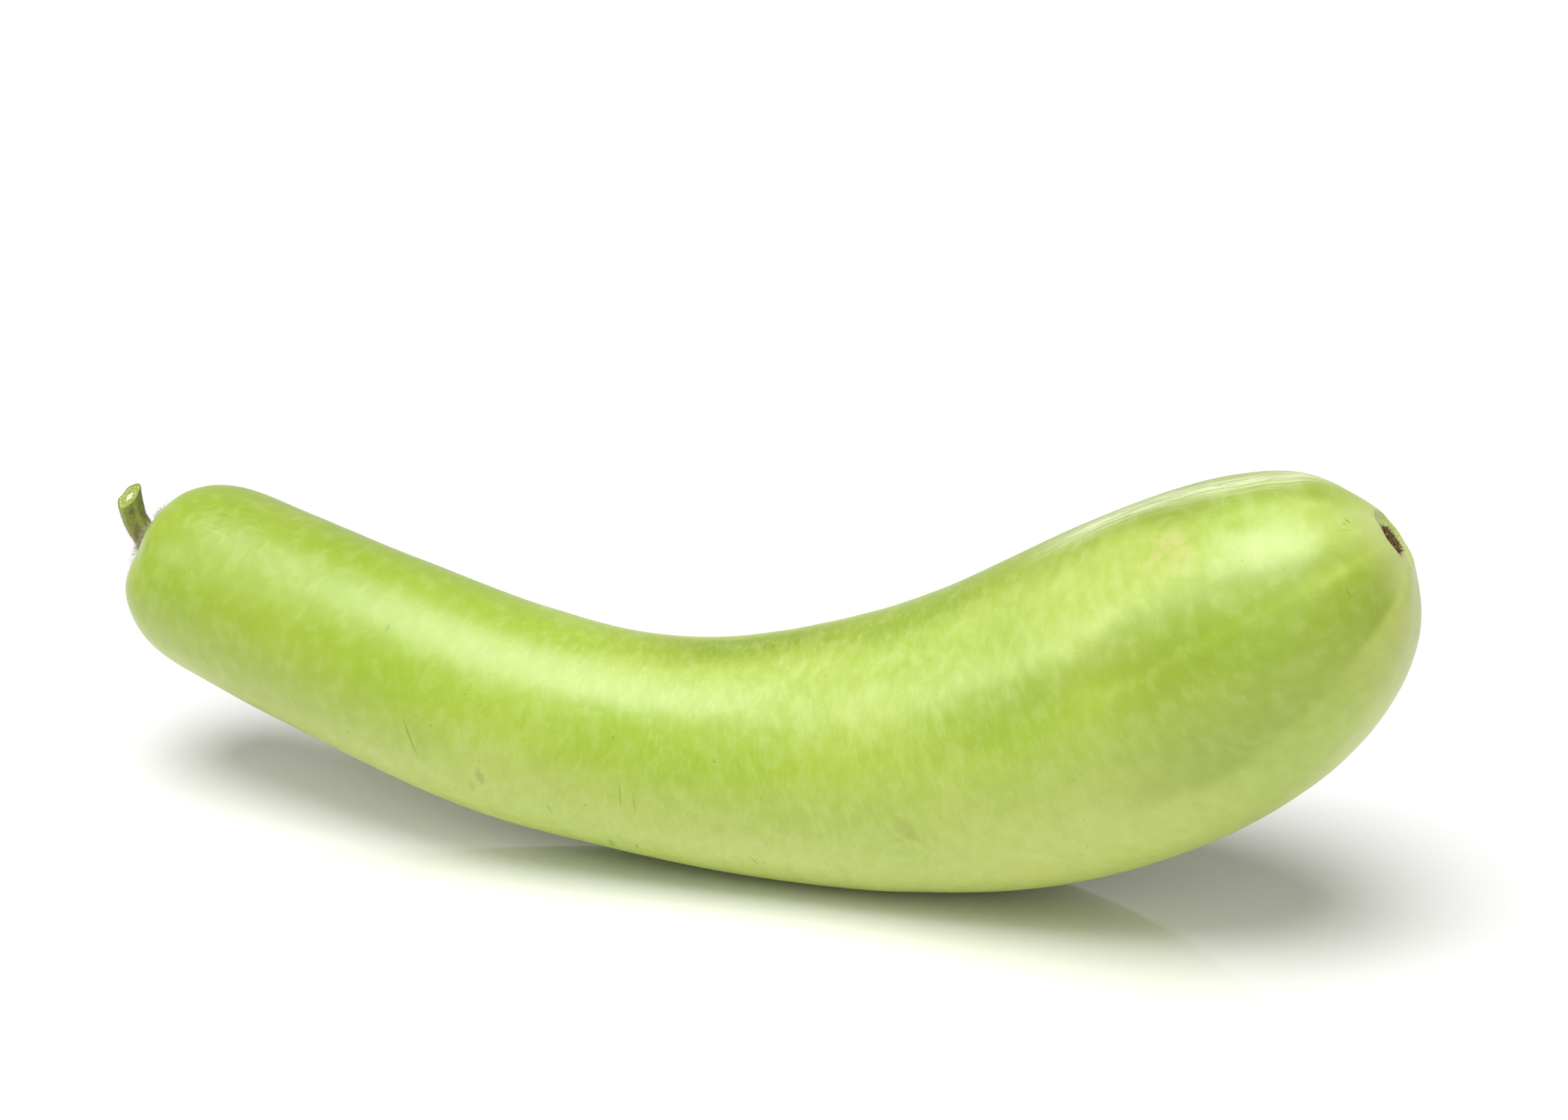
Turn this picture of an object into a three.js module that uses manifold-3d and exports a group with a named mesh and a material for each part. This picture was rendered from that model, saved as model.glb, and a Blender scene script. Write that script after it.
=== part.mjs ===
// Bottle gourd, as picked: one long fruit, bent along its length, with its cut stem and the dry
// rest of its blossom. Millimetres, +Z up. The neck with the stem lies to -X, the fat blossom
// end to +X, and the middle of the underside rests on a small flat spot.

import * as THREE from 'three';
import { NURBSCurve } from 'three/addons/curves/NURBSCurve.js';
import { mergeVertices } from 'three/addons/utils/BufferGeometryUtils.js';
import Module from 'manifold-3d';

const wasm = await Module();
wasm.setup();

// Where the two ends of the fruit's axis lie, from the middle of the bend.
const NECK = { reach: -168, sweep: 67, rise: 61 };
const BELLY = { reach: 142, sweep: -34, rise: 104 };

// The fruit's girth, as radii.
const STEM_END_RADIUS = 24.8;
const NECK_RADIUS = 27.3;
const BELLY_RADIUS = 42;
const NECK_RUN = 123; // from the stem end to where the neck has its full radius

// How far each end takes to round off, and the dimple in the middle of it.
const STEM_CAP = 38;
const BLOSSOM_CAP = 122;
const STEM_DIMPLE = { radius: 8, depth: 1.2 };
const BLOSSOM_DIMPLE = { radius: 6, depth: 2 };

// The flat spot is this much higher than the round underside would be.
const REST_FLAT_DEPTH = 1.6;

// The stem: five soft ribs, a wide foot in the fruit and a slanted cut across the tip.
const STEM_RADIUS = 3.1;
const STEM_FOOT_RADIUS = 4.4;
const STEM_FOOT_RUN = 4; // over which the foot narrows to the stem
const STEM_RIB_HEIGHT = 0.2;
const STEM_RIBS = 5;
const STEM_RUN = 7.1; // how far it leads out from the fruit as it turns up
const STEM_RISE = 10.6; // from the fruit's end to the middle of the cut
const STEM_SEAT = 2.5; // how deep its foot sits in the fruit
const STEM_CUT_FACES = new THREE.Vector3(-0.5, -0.4, 0.77).normalize();

// The dry blossom: a low, blunt knob.
const BLOSSOM_RADIUS = 3.8;
const BLOSSOM_HEIGHT = 2.6;
const BLOSSOM_SEAT = 1.4;

const SEAT_GAP = 0.3; // between the fruit and each piece that sits in it

// Mesh density.
const FRUIT_SIDES = 40;
const FRUIT_RINGS = 56;
const STEM_SIDES = 20;
const STEM_RINGS = 14;
const BLOSSOM_SIDES = 16;

// How the girth swells from the neck to the belly, as shares of the fruit's length.
const SWELL_START = 0.39;
const SWELL_END = 0.81;
const CAP_FULLNESS = 4; // 2 would round the ends as ellipses; more is blunter

const UP = new THREE.Vector3(0, 0, 1);

const { clamp, lerp, smoothstep } = THREE.MathUtils;

/** A control point of the axis, as shares of one end's reach, sweep and rise. */
function axisPoint(end, reach, sweep, rise) {
  return new THREE.Vector4(end.reach * reach, end.sweep * sweep, end.rise * rise, 1);
}

/** The smooth curve through the middle of the fruit, from the stem end to the blossom end. */
function fruitAxis() {
  const points = [
    axisPoint(NECK, 1, 1, 1),
    axisPoint(NECK, 0.93, 0.93, 0.93),
    axisPoint(NECK, 0.54, 0.27, 0.69),
    axisPoint(NECK, 0.12, 0.03, 0.41),
    axisPoint(BELLY, 0.53, 0.35, 0.4),
    axisPoint(BELLY, 0.83, 0.91, 0.81),
    axisPoint(BELLY, 1, 1, 1),
  ];
  const degree = 3;
  const spans = points.length - degree;
  const knots = points.map((_, i) => Math.max(0, i - degree) / spans);
  for (let i = 0; i <= degree; i++) knots.push(1);
  return new NURBSCurve(degree, knots, points);
}

/** How much of the full girth is left near an end that rounds off over a given run. */
function cap(distance, run) {
  const left = Math.max(0, 1 - distance / run);
  return Math.sqrt(Math.max(0, 1 - left ** CAP_FULLNESS));
}

/** The fruit's radius at a distance along its axis. */
function fruitRadius(along, length) {
  const neck = lerp(STEM_END_RADIUS, NECK_RADIUS, smoothstep(along, 0, NECK_RUN));
  const swell = smoothstep(along / length, SWELL_START, SWELL_END);
  const full = neck + (BELLY_RADIUS - NECK_RADIUS) * swell;
  return full * cap(along, STEM_CAP) * cap(length - along, BLOSSOM_CAP);
}

/** How far a dimple pulls in a point at a given radius from its middle. */
function dimpleAt(radius, dimple) {
  return dimple.depth * Math.exp(-((radius / dimple.radius) ** 2));
}

/** The fruit's half outline, with rings closer together towards both ends. */
function fruitProfile(length) {
  const profile = [];
  for (let i = 0; i <= FRUIT_RINGS; i++) {
    const along = length * 0.5 * (1 - Math.cos((Math.PI * i) / FRUIT_RINGS));
    const atEnd = i === 0 || i === FRUIT_RINGS;
    const radius = atEnd ? 0 : fruitRadius(along, length);
    const dimple = 2 * along < length
      ? dimpleAt(radius, STEM_DIMPLE)
      : -dimpleAt(radius, BLOSSOM_DIMPLE);
    profile.push(new THREE.Vector2(radius, along + dimple));
  }
  return profile;
}

/**
 * Bends a lathe shape, turned about +Y, along a curve: its height becomes distance along the
 * curve, and goes straight on past the curve's ends. The curve never runs along the reference.
 */
function bendAlong(geometry, curve, reference) {
  const length = curve.getLength();
  const place = geometry.getAttribute('position');
  for (let i = 0; i < place.count; i++) {
    const share = clamp(place.getY(i) / length, 0, 1);
    const middle = curve.getPointAt(share);
    const tangent = curve.getTangentAt(share);
    middle.addScaledVector(tangent, place.getY(i) - share * length);
    const side = new THREE.Vector3().crossVectors(tangent, reference).normalize();
    const top = new THREE.Vector3().crossVectors(side, tangent);
    middle.addScaledVector(side, place.getX(i)).addScaledVector(top, place.getZ(i));
    place.setXYZ(i, middle.x, middle.y, middle.z);
  }
  return geometry;
}

/** Drops all but the positions and merges the seam, so that the mesh is one closed body. */
function closed(geometry) {
  geometry.deleteAttribute('normal');
  geometry.deleteAttribute('uv');
  return mergeVertices(geometry, 1e-4);
}

/** A closed three.js mesh as a solid that can be cut. */
function toSolid(geometry) {
  const mesh = new wasm.Mesh({
    numProp: 3,
    vertProperties: new Float32Array(geometry.getAttribute('position').array),
    triVerts: new Uint32Array(geometry.getIndex().array),
  });
  mesh.merge();
  return new wasm.Manifold(mesh);
}

/** A cut solid as a three.js geometry again. */
function toGeometry(solid) {
  const mesh = solid.getMesh();
  const geometry = new THREE.BufferGeometry();
  geometry.setAttribute('position', new THREE.BufferAttribute(mesh.vertProperties, 3));
  geometry.setIndex(new THREE.BufferAttribute(mesh.triVerts, 1));
  geometry.computeVertexNormals();
  return geometry;
}

/** Where a piece sits at an end of the fruit: the bottom of the dimple and the way out. */
function seatAt(axis, share, dimple) {
  const out = axis.getTangentAt(share);
  if (share === 0) out.negate();
  const place = axis.getPointAt(share).addScaledVector(out, -dimple.depth);
  return { place, out };
}

/** The stem's middle line, from the bottom of its foot to the middle of the cut. */
function stemCurve(seat) {
  const at = (out, up) => seat.place.clone().addScaledVector(seat.out, out).addScaledVector(UP, up);
  return new THREE.CatmullRomCurve3([
    at(-STEM_SEAT, 0),
    at(0.17 * STEM_RUN, 0),
    at(0.58 * STEM_RUN, 0.25 * STEM_RISE),
    at(0.83 * STEM_RUN, 0.48 * STEM_RISE),
    at(0.94 * STEM_RUN, 0.75 * STEM_RISE),
    at(STEM_RUN, STEM_RISE),
  ]);
}

/** The stem before its tip is cut, or with a margin the hollow that it sits in. */
function stemGeometry(seat, margin) {
  const curve = stemCurve(seat);
  const length = curve.getLength() + 2 * STEM_RADIUS;
  const profile = [new THREE.Vector2(0, -margin)];
  for (let i = 0; i <= STEM_RINGS; i++) {
    const along = (length * i) / STEM_RINGS;
    const foot = 1 - smoothstep(along, STEM_SEAT, STEM_SEAT + STEM_FOOT_RUN);
    const radius = lerp(STEM_RADIUS, STEM_FOOT_RADIUS, foot) + margin;
    profile.push(new THREE.Vector2(radius, i === 0 ? -margin : along));
  }
  profile.push(new THREE.Vector2(0, length));
  const geometry = new THREE.LatheGeometry(profile, STEM_SIDES);
  const place = geometry.getAttribute('position');
  for (let i = 0; i < place.count; i++) {
    const turn = Math.atan2(place.getZ(i), place.getX(i));
    const rib = 1 + (STEM_RIB_HEIGHT * Math.cos(STEM_RIBS * turn)) / STEM_RADIUS;
    place.setXYZ(i, place.getX(i) * rib, place.getY(i), place.getZ(i) * rib);
  }
  const acrossBend = new THREE.Vector3().crossVectors(seat.out, UP);
  return closed(bendAlong(geometry, curve, acrossBend));
}

/** The dry blossom, or with a margin the hollow that it sits in. */
function blossomGeometry(seat, margin) {
  const profile = [
    new THREE.Vector2(0, -BLOSSOM_SEAT - margin),
    new THREE.Vector2(0.7 * BLOSSOM_RADIUS + margin, -BLOSSOM_SEAT - margin),
    new THREE.Vector2(BLOSSOM_RADIUS + margin, 0),
    new THREE.Vector2(0.95 * BLOSSOM_RADIUS + margin, 0.4 * BLOSSOM_HEIGHT),
    new THREE.Vector2(0.6 * BLOSSOM_RADIUS + margin, 0.85 * BLOSSOM_HEIGHT),
    new THREE.Vector2(0, BLOSSOM_HEIGHT + margin),
  ];
  const geometry = new THREE.LatheGeometry(profile, BLOSSOM_SIDES);
  const turn = new THREE.Quaternion().setFromUnitVectors(new THREE.Vector3(0, 1, 0), seat.out);
  geometry.applyQuaternion(turn);
  geometry.translate(...seat.place);
  return closed(geometry);
}

/** A block that fills the space on one side of a plane, as far as a given reach. */
function block(point, facing, reach) {
  const box = new THREE.BoxGeometry(reach, reach, reach);
  box.translate(0, 0, reach / 2);
  box.applyQuaternion(new THREE.Quaternion().setFromUnitVectors(UP, facing));
  box.translate(...point);
  return toSolid(closed(box));
}

/** A named sub-part with its own material. */
function piece(name, geometry, color, roughness) {
  const material = new THREE.MeshStandardMaterial({ color, roughness, metalness: 0 });
  const mesh = new THREE.Mesh(geometry, material);
  mesh.name = name;
  return mesh;
}

const axis = fruitAxis();
const length = axis.getLength();
const stemSeat = seatAt(axis, 0, STEM_DIMPLE);
const blossomSeat = seatAt(axis, 1, BLOSSOM_DIMPLE);

const profile = fruitProfile(length);
const round = closed(bendAlong(new THREE.LatheGeometry(profile, FRUIT_SIDES), axis, UP));
round.computeBoundingBox();
const floor = round.boundingBox.min.z + REST_FLAT_DEPTH;
const fruit = toSolid(round)
  .subtract(block(new THREE.Vector3(0, 0, floor), UP.clone().negate(), 4 * length))
  .subtract(toSolid(stemGeometry(stemSeat, SEAT_GAP)))
  .subtract(toSolid(blossomGeometry(blossomSeat, SEAT_GAP)));

const cutMiddle = stemCurve(stemSeat).getPointAt(1);
const stem = toSolid(stemGeometry(stemSeat, 0))
  .subtract(block(cutMiddle, STEM_CUT_FACES, 4 * STEM_RISE));

const gourd = new THREE.Group();
gourd.add(piece('fruit', toGeometry(fruit), 0xa9cf52, 0.35));
gourd.add(piece('stem', toGeometry(stem), 0x77862f, 0.75));
gourd.add(piece('dried_blossom', blossomGeometry(blossomSeat, 0), 0x6f5a3c, 0.95));

// The origin is on the resting surface, under the middle of the whole gourd.
const bounds = new THREE.Box3().setFromObject(gourd);
const middle = bounds.getCenter(new THREE.Vector3());
gourd.position.set(-middle.x, -middle.y, -floor);

export default gourd;
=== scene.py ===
"""Bottle gourd, as picked: its looks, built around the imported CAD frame.

The gourd is one long bent fruit with a waxy light-green skin. A cut stem with fine down round
its seat is on one end, and the dry rest of the blossom on the other. Everything is in metres.
"""

import logging
import math
from dataclasses import dataclass, field
from enum import Enum
from itertools import product

import bpy
import numpy as np
from mathutils import Matrix, Vector

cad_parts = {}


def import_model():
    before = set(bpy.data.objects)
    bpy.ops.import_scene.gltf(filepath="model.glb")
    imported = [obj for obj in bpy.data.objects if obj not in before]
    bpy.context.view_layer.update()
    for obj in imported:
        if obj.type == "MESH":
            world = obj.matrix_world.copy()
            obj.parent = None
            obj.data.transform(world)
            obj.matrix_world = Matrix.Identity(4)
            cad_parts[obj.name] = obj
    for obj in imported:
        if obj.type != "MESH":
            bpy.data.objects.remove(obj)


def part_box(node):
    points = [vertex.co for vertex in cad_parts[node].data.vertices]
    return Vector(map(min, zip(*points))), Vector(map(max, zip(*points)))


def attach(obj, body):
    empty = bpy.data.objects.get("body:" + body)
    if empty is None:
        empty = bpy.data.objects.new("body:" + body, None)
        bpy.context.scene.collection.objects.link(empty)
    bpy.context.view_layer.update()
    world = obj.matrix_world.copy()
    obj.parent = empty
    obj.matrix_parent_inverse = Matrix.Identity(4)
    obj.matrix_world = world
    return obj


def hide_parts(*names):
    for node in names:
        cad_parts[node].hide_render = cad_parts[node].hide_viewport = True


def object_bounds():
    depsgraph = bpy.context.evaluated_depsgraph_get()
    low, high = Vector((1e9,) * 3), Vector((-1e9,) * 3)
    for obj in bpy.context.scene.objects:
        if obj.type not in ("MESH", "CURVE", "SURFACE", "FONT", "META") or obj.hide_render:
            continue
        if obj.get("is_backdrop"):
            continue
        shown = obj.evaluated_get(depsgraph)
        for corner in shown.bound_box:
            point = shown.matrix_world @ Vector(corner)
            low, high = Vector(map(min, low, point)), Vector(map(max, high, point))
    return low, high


MM = 0.001
UP = np.array((0.0, 0.0, 1.0))
LOG = logging.getLogger("bottle_gourd")

Triple = tuple[float, float, float]
Faces = list[tuple[int, ...]]
Socket = bpy.types.NodeSocket
Sockets = dict[str, Socket]

# Soft noise looks its values up in a table; the primes scatter a cell's place over it.
NOISE_VALUES = 4096
NOISE_PRIMES = (73856093, 19349663, 83492791)

# The attributes that hold a place; all the others hold a number.
PLACES = {"straight": "Vector", "ridge_at": "Vector"}


class Slot(Enum):
    """The record's material slots."""

    SKIN = "skin"
    STEM = "stem"
    BLOSSOM = "dried_blossom"


class Body(Enum):
    """The bodies that a piece can ride on."""

    ROOT = "root"


# ---------------------------------------------------------------- colour and node helpers


def linear(code: str) -> tuple[float, float, float, float]:
    """Turns an sRGB hex colour into linear RGBA.

    Args:
        code: the colour as six hex digits, with or without a leading #.

    Returns:
        The linear red, green and blue, and an alpha of 1.
    """
    digits = code.lstrip("#")
    parts = [int(digits[i : i + 2], 16) / 255 for i in (0, 2, 4)]
    red, green, blue = (
        p / 12.92 if p <= 0.04045 else ((p + 0.055) / 1.055) ** 2.4 for p in parts
    )
    return red, green, blue, 1.0


def add(
    tree: bpy.types.NodeTree,
    kind: str,
    inputs: dict[str | int, object] | None = None,
    out: str | int = 0,
    **settings: object,
) -> Socket:
    """Adds one node with its settings and links.

    Args:
        tree: the node tree it goes into.
        kind: the node's type, without the ShaderNode in front.
        inputs: for each input, by name or number, a value or the socket that feeds it.
        out: the output to hand back.
        settings: the node's own properties.

    Returns:
        The chosen output socket.
    """
    made = tree.nodes.new("ShaderNode" + kind)
    for name, value in settings.items():
        setattr(made, name, value)
    for name, value in (inputs or {}).items():
        if isinstance(value, Socket):
            tree.links.new(value, made.inputs[name])
        else:
            made.inputs[name].default_value = value
    return made.outputs[out] if made.outputs else None


def per(size: float) -> float:
    """The texture scale at which one feature is this many millimetres long."""
    return 1 / (size * MM)


# ---------------------------------------------------------------- shape helpers


def smoothstep(value: np.ndarray, low: float, high: float) -> np.ndarray:
    """Eases from 0 at low to 1 at high."""
    share = np.clip((value - low) / (high - low), 0, 1)
    return share * share * (3 - 2 * share)


def bump(value: np.ndarray, middle: float, width: float) -> np.ndarray:
    """A bell curve of height 1 round a middle."""
    return np.exp(-(((value - middle) / width) ** 2))


def unit(vectors: np.ndarray) -> np.ndarray:
    """The vectors at length 1; one of no length stays as it is."""
    size = np.linalg.norm(vectors, axis=-1, keepdims=True)
    return vectors / np.where(size > 0, size, 1)


def turn_gap(angles: np.ndarray, middle: float) -> np.ndarray:
    """The shortest turn from a middle to each angle, in degrees."""
    return (np.degrees(angles) - middle + 180) % 360 - 180


def soft_noise(points: np.ndarray, cell: Triple | float, seed: int) -> np.ndarray:
    """Smooth random values from -1 to 1, the same on every run.

    Args:
        points: places, with x, y and z in the last dimension.
        cell: the size of a feature, one for all three directions or one for each.
        seed: picks one pattern out of many.

    Returns:
        One value for each place.
    """
    table = np.random.default_rng(seed).uniform(-1, 1, NOISE_VALUES)
    grid = points / np.asarray(cell)
    base = np.floor(grid).astype(np.int64)
    share = grid - base
    share = share * share * (3 - 2 * share)
    total = np.zeros(points.shape[:-1])
    for corner in product((0, 1), repeat=3):
        key = base + np.array(corner)
        slot = np.bitwise_xor.reduce(key * np.array(NOISE_PRIMES), axis=-1)
        weight = np.prod(np.where(np.array(corner) == 1, share, 1 - share), axis=-1)
        total += table[slot % NOISE_VALUES] * weight
    return total


def make_mesh(
    name: str,
    points: np.ndarray,
    faces: Faces,
    values: dict[str, np.ndarray] | None = None,
) -> bpy.types.Object:
    """Makes a smooth-shaded mesh object with values on its points.

    Args:
        name: the piece's name.
        points: the places of the points, one row each.
        faces: the faces as rows of point numbers.
        values: for each attribute name, a number or a vector for every point.

    Returns:
        The object, linked into the scene.
    """
    mesh = bpy.data.meshes.new(name)
    mesh.from_pydata(points.tolist(), [], faces)
    mesh.validate()
    mesh.polygons.foreach_set("use_smooth", [True] * len(mesh.polygons))
    for label, data in (values or {}).items():
        data = np.asarray(data, float)
        kind, key = ("FLOAT_VECTOR", "vector") if data.ndim == 2 else ("FLOAT", "value")
        layer = mesh.attributes.new(label, kind, "POINT")
        layer.data.foreach_set(key, data.astype(np.float32).ravel())
    mesh.update()
    piece = bpy.data.objects.new(name, mesh)
    bpy.context.scene.collection.objects.link(piece)
    return piece


def ring_faces(rings: int, sides: int) -> Faces:
    """The quads of a tube whose points run ring by ring."""
    return [
        (
            i * sides + j,
            i * sides + (j + 1) % sides,
            (i + 1) * sides + (j + 1) % sides,
            (i + 1) * sides + j,
        )
        for i in range(rings - 1)
        for j in range(sides)
    ]


def closed_faces(rings: int, sides: int) -> Faces:
    """The faces between rings, with the last ring drawn to a point and the first one closed."""
    base, tip = (rings - 1) * sides, rings * sides
    faces = ring_faces(rings, sides)
    faces += [(base + j, base + (j + 1) % sides, tip) for j in range(sides)]
    return faces + [tuple(reversed(range(sides)))]


def strands(
    roots: np.ndarray,
    ways: np.ndarray,
    lengths: np.ndarray,
    radii: np.ndarray,
    curl: float,
    rng: np.random.Generator,
) -> tuple[np.ndarray, Faces, np.ndarray]:
    """Thin tapered fibres, each with three sides and a closed tip.

    Args:
        roots: where each one starts.
        ways: the direction in which each one starts.
        lengths: how long each one is.
        radii: how thick each one is at its root.
        curl: how far each tip bends aside, as a share of its length.
        rng: the source of the bends.

    Returns:
        The points, the faces, and for each point its share of the way to the tip.
    """
    steps, sides = 5, 3
    count = len(roots)
    ways = unit(ways)
    aside = unit(np.cross(ways, unit(rng.normal(size=(count, 3)))))
    other = np.cross(ways, aside)
    share = np.linspace(0, 1, steps + 1)
    bend = rng.uniform(-1, 1, (count, 2)) * curl
    along = share[None, :, None] * lengths[:, None, None]
    middle = roots[:, None] + ways[:, None] * along
    middle = middle + aside[:, None] * (along * share[None, :, None] * bend[:, :1, None])
    wave = np.sin(share * math.pi * 1.5)[None, :, None] * lengths[:, None, None] * 0.35
    middle = middle + other[:, None] * (wave * bend[:, 1:, None])
    angle = np.arange(sides) * 2 * math.pi / sides
    thick = radii[:, None] * (1 - 0.8 * share[None])
    rim = (
        aside[:, None, None] * np.cos(angle)[None, None, :, None]
        + other[:, None, None] * np.sin(angle)[None, None, :, None]
    )
    points = (middle[:, :, None] + rim * thick[:, :, None, None]).reshape(-1, 3)
    one = ring_faces(steps + 1, sides)
    one += [tuple(range(steps * sides, (steps + 1) * sides)), (2, 1, 0)]
    size = (steps + 1) * sides
    faces = [tuple(n + k * size for n in f) for k in range(count) for f in one]
    tips = np.tile(np.repeat(share, sides), count)
    return points, faces, tips


# ---------------------------------------------------------------- the fruit's form


@dataclass(frozen=True)
class Seat:
    """A place on the fruit where another piece grows: its middle and the way out."""

    place: np.ndarray
    out: np.ndarray


@dataclass(frozen=True)
class Pull:
    """A smooth dimple: its radius and its depth."""

    radius: float
    depth: float

    def at(self, radius: np.ndarray) -> np.ndarray:
        """How far it pulls in a point at a given radius."""
        return self.depth * np.exp(-((radius / self.radius) ** 2))


@dataclass
class GourdForm:
    """The smooth bent body on which all the pieces lie, as in the CAD solid."""

    neck: Triple = (-0.168, 0.067, 0.061)
    belly: Triple = (0.142, -0.034, 0.104)
    neck_shares: tuple[Triple, ...] = (
        (1, 1, 1),
        (0.93, 0.93, 0.93),
        (0.54, 0.27, 0.69),
        (0.12, 0.03, 0.41),
    )
    belly_shares: tuple[Triple, ...] = ((0.53, 0.35, 0.4), (0.83, 0.91, 0.81), (1, 1, 1))
    stem_end_radius: float = 24.8 * MM
    neck_radius: float = 27.3 * MM
    belly_radius: float = 42 * MM
    neck_run: float = 123 * MM
    stem_cap: float = 38 * MM
    blossom_cap: float = 122 * MM
    swell: tuple[float, float] = (0.39, 0.81)
    fullness: int = 4
    stem_dimple: Pull = Pull(8 * MM, 1.2 * MM)
    blossom_dimple: Pull = Pull(6 * MM, 2 * MM)
    shift: np.ndarray = field(default_factory=lambda: np.zeros(3))

    def __post_init__(self) -> None:
        """Works out the axis once, as a table by distance."""
        shares = np.array(self.neck_shares + self.belly_shares)
        ends = np.array([self.neck] * len(self.neck_shares) + [self.belly] * len(self.belly_shares))
        self._place = self._spline(shares * ends)
        step = np.linalg.norm(np.diff(self._place, axis=0), axis=1)
        self._run = np.concatenate(([0], np.cumsum(step)))
        self.length = float(self._run[-1])
        self._tangent = unit(np.gradient(self._place, self._run, axis=0))

    @staticmethod
    def _spline(points: np.ndarray, count: int = 3000) -> np.ndarray:
        """A clamped uniform cubic B-spline, as places at even steps of its parameter."""
        degree = 3
        spans = len(points) - degree
        knots = np.concatenate(([0] * degree, np.arange(spans + 1) / spans, [1] * degree))
        t = np.linspace(0, 1 - 1e-9, count)
        basis = [((knots[i] <= t) & (t < knots[i + 1])) * 1.0 for i in range(len(knots) - 1)]
        for level in range(1, degree + 1):
            raised = []
            for i in range(len(basis) - 1):
                left, right = knots[i + level] - knots[i], knots[i + level + 1] - knots[i + 1]
                part = (t - knots[i]) / left * basis[i] if left else 0 * t
                if right:
                    part = part + (knots[i + level + 1] - t) / right * basis[i + 1]
                raised.append(part)
            basis = raised
        return np.stack(basis, 1) @ points

    def frame_at(self, along: np.ndarray) -> tuple[np.ndarray, ...]:
        """The axis and its cross directions.

        Args:
            along: distances along the axis; past its ends it goes straight on.

        Returns:
            The axis's place, its direction, the side towards the viewer and the top.
        """
        near = np.clip(along, 0, self.length)
        place = np.stack([np.interp(near, self._run, c) for c in self._place.T], -1)
        tangent = unit(np.stack([np.interp(near, self._run, c) for c in self._tangent.T], -1))
        place = place + tangent * (along - near)[..., None] + self.shift
        side = unit(np.cross(tangent, UP))
        return place, tangent, side, np.cross(side, tangent)

    def girth(self, along: np.ndarray) -> np.ndarray:
        """The fruit's radius at a distance along its axis."""
        neck = self.stem_end_radius + (self.neck_radius - self.stem_end_radius) * smoothstep(
            along, 0, self.neck_run
        )
        swell = smoothstep(along / self.length, *self.swell)
        full = neck + (self.belly_radius - self.neck_radius) * swell
        for gap, run in ((along, self.stem_cap), (self.length - along, self.blossom_cap)):
            left = np.clip(1 - gap / run, 0, 1)
            full = full * np.sqrt(np.clip(1 - left**self.fullness, 0, 1))
        return full

    def surface(self, along: np.ndarray, angle: np.ndarray) -> tuple[np.ndarray, np.ndarray]:
        """Places on the smooth skin.

        Args:
            along: distances along the axis.
            angle: turns about it, from the top towards the viewer, in radians.

        Returns:
            The places, and the same places on a straightened fruit.
        """
        radius = self.girth(along)
        height = along + np.where(
            2 * along < self.length,
            self.stem_dimple.at(radius),
            -self.blossom_dimple.at(radius),
        )
        place, _, side, top = self.frame_at(height)
        across, upward = radius * np.sin(angle), radius * np.cos(angle)
        points = place + side * across[..., None] + top * upward[..., None]
        return points, np.stack((along, across, upward), -1)

    def lay_into(self, low: np.ndarray, high: np.ndarray) -> None:
        """Shifts the form so that it fills the fruit's box; the flat spot is the box's floor."""
        along, angle = np.meshgrid(
            np.linspace(0, self.length, 400), np.linspace(0, 2 * math.pi, 181), indexing="ij"
        )
        points = self.surface(along, angle)[0].reshape(-1, 3)
        middle = (low + high) / 2 - (points.min(0) + points.max(0)) / 2
        middle[2] = high[2] - points[:, 2].max()
        self.shift = middle

    def stem_seat(self) -> Seat:
        """Where the stem grows from the fruit."""
        place, tangent, _, _ = self.frame_at(np.array(self.stem_dimple.depth))
        return Seat(place, -tangent)

    def blossom_seat(self) -> Seat:
        """Where the blossom was."""
        place, tangent, _, _ = self.frame_at(np.array(self.length - self.blossom_dimple.depth))
        return Seat(place, tangent)


# ---------------------------------------------------------------- finishes


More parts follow.
